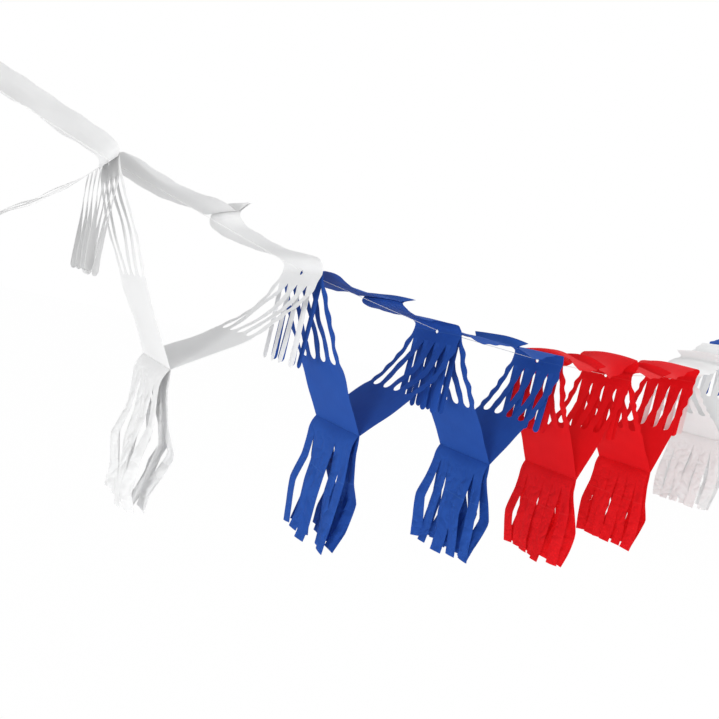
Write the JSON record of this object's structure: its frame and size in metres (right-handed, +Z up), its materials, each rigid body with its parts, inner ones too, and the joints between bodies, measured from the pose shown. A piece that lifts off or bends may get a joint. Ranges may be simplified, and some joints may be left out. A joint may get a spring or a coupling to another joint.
{
  "type": "strip garland",
  "caption": "Paper garland of slotted V-shaped drops with cut fringes, glued end to end and hung in a low swag.",
  "frame": {"origin": "outer face of the left end tab, 6.5 mm below its punched hole, halfway across the sheet", "axes": "+X along the garland to its right end, +Y across it, away from the side the picture was taken from, +Z up"},
  "size_m": [1.6216, 0.09, 0.5614],
  "materials": {
    "white_paper": "matte thin paper",
    "blue_paper": "matte thin paper",
    "red_paper": "matte thin paper",
    "white_thread": "thin white thread"
  },
  "bodies": {
    "garland_sheets": {"sheet_1_left": "white_paper", "sheet_1_right": "white_paper", "sheet_2_left": "white_paper", "sheet_2_right": "white_paper", "sheet_3_left": "blue_paper", "sheet_3_right": "blue_paper", "sheet_4_left": "blue_paper", "sheet_4_right": "blue_paper", "sheet_5_left": "red_paper", "sheet_5_right": "red_paper", "sheet_6_left": "red_paper", "sheet_6_right": "red_paper", "sheet_7_left": "white_paper", "sheet_7_right": "white_paper", "sheet_8_left": "blue_paper", "sheet_8_right": "blue_paper", "sheet_9_left": "blue_paper", "sheet_9_right": "blue_paper", "hanging_thread": "white_thread", "thread_knot_left": "white_thread", "thread_knot_right": "white_thread"},
    "fringe_1": {"fringe_1_left": "white_paper", "fringe_1_right": "white_paper"},
    "fringe_2": {"fringe_2_left": "white_paper", "fringe_2_right": "white_paper"},
    "fringe_3": {"fringe_3_left": "blue_paper", "fringe_3_right": "blue_paper"},
    "fringe_4": {"fringe_4_left": "blue_paper", "fringe_4_right": "blue_paper"},
    "fringe_5": {"fringe_5_left": "red_paper", "fringe_5_right": "red_paper"},
    "fringe_6": {"fringe_6_left": "red_paper", "fringe_6_right": "red_paper"},
    "fringe_7": {"fringe_7_left": "white_paper", "fringe_7_right": "white_paper"},
    "fringe_8": {"fringe_8_left": "blue_paper", "fringe_8_right": "blue_paper"},
    "fringe_9": {"fringe_9_left": "blue_paper", "fringe_9_right": "blue_paper"},
    "tongues_0": {"tongues_1_left": "white_paper"},
    "tongues_1": {"tongues_1_right": "white_paper", "tongues_2_left": "white_paper"},
    "tongues_2": {"tongues_2_right": "white_paper", "tongues_3_left": "blue_paper"},
    "tongues_3": {"tongues_3_right": "blue_paper", "tongues_4_left": "blue_paper"},
    "tongues_4": {"tongues_4_right": "blue_paper", "tongues_5_left": "red_paper"},
    "tongues_5": {"tongues_5_right": "red_paper", "tongues_6_left": "red_paper"},
    "tongues_6": {"tongues_6_right": "red_paper", "tongues_7_left": "white_paper"},
    "tongues_7": {"tongues_7_right": "white_paper", "tongues_8_left": "blue_paper"},
    "tongues_8": {"tongues_8_right": "blue_paper", "tongues_9_left": "blue_paper"},
    "tongues_9": {"tongues_9_right": "blue_paper"}
  },
  "joints": [
    {"name": "fringe_1_swing", "type": "hinge", "parent": "garland_sheets", "child": "fringe_1", "pos_m": [0.06146, 0, -0.14886], "axis": [0, 1, 0], "range_deg": [-60, 60]},
    {"name": "fringe_2_swing", "type": "hinge", "parent": "garland_sheets", "child": "fringe_2", "pos_m": [0.25487, 0, -0.1936], "axis": [0, 1, 0], "range_deg": [-60, 60]},
    {"name": "fringe_3_swing", "type": "hinge", "parent": "garland_sheets", "child": "fringe_3", "pos_m": [0.45529, 0, -0.22897], "axis": [0, 1, 0], "range_deg": [-60, 60]},
    {"name": "fringe_4_swing", "type": "hinge", "parent": "garland_sheets", "child": "fringe_4", "pos_m": [0.65221, 0, -0.24389], "axis": [0, 1, 0], "range_deg": [-60, 60]},
    {"name": "fringe_5_swing", "type": "hinge", "parent": "garland_sheets", "child": "fringe_5", "pos_m": [0.82772, 0, -0.25188], "axis": [0, 1, 0], "range_deg": [-60, 60]},
    {"name": "fringe_6_swing", "type": "hinge", "parent": "garland_sheets", "child": "fringe_6", "pos_m": [1.00731, 0, -0.22969], "axis": [0, 1, 0], "range_deg": [-60, 60]},
    {"name": "fringe_7_swing", "type": "hinge", "parent": "garland_sheets", "child": "fringe_7", "pos_m": [1.215, 0, -0.16222], "axis": [0, 1, 0], "range_deg": [-60, 60]},
    {"name": "fringe_8_swing", "type": "hinge", "parent": "garland_sheets", "child": "fringe_8", "pos_m": [1.39462, 0, -0.07845], "axis": [0, 1, 0], "range_deg": [-60, 60]},
    {"name": "fringe_9_swing", "type": "hinge", "parent": "garland_sheets", "child": "fringe_9", "pos_m": [1.5712, 0, 0.01153], "axis": [0, 1, 0], "range_deg": [-60, 60]},
    {"name": "tongues_0_swing", "type": "hinge", "parent": "garland_sheets", "child": "tongues_0", "pos_m": [-0.00015, 0, -0.00805], "axis": [0, 1, 0], "range_deg": [-18, 20]},
    {"name": "tongues_1_swing", "type": "hinge", "parent": "garland_sheets", "child": "tongues_1", "pos_m": [0.18324, 0, -0.05732], "axis": [0, 1, 0], "range_deg": [-20, 20]},
    {"name": "tongues_2_swing", "type": "hinge", "parent": "garland_sheets", "child": "tongues_2", "pos_m": [0.37371, 0, -0.09818], "axis": [0, 1, 0], "range_deg": [-20, 20]},
    {"name": "tongues_3_swing", "type": "hinge", "parent": "garland_sheets", "child": "tongues_3", "pos_m": [0.56142, 0, -0.11924], "axis": [0, 1, 0], "range_deg": [-20, 20]},
    {"name": "tongues_4_swing", "type": "hinge", "parent": "garland_sheets", "child": "tongues_4", "pos_m": [0.745, 0, -0.12192], "axis": [0, 1, 0], "range_deg": [-20, 20]},
    {"name": "tongues_5_swing", "type": "hinge", "parent": "garland_sheets", "child": "tongues_5", "pos_m": [0.90201, 0, -0.11697], "axis": [0, 1, 0], "range_deg": [-20, 20]},
    {"name": "tongues_6_swing", "type": "hinge", "parent": "garland_sheets", "child": "tongues_6", "pos_m": [1.07699, 0, -0.09246], "axis": [0, 1, 0], "range_deg": [-20, 20]},
    {"name": "tongues_7_swing", "type": "hinge", "parent": "garland_sheets", "child": "tongues_7", "pos_m": [1.2542, 0, -0.01459], "axis": [0, 1, 0], "range_deg": [-20, 10]},
    {"name": "tongues_8_swing", "type": "hinge", "parent": "garland_sheets", "child": "tongues_8", "pos_m": [1.42855, 0, 0.07007], "axis": [0, 1, 0], "range_deg": [-20, 8]},
    {"name": "tongues_9_swing", "type": "hinge", "parent": "garland_sheets", "child": "tongues_9", "pos_m": [1.59983, 0, 0.16062], "axis": [0, 1, 0], "range_deg": [-20, 6]}
  ]
}
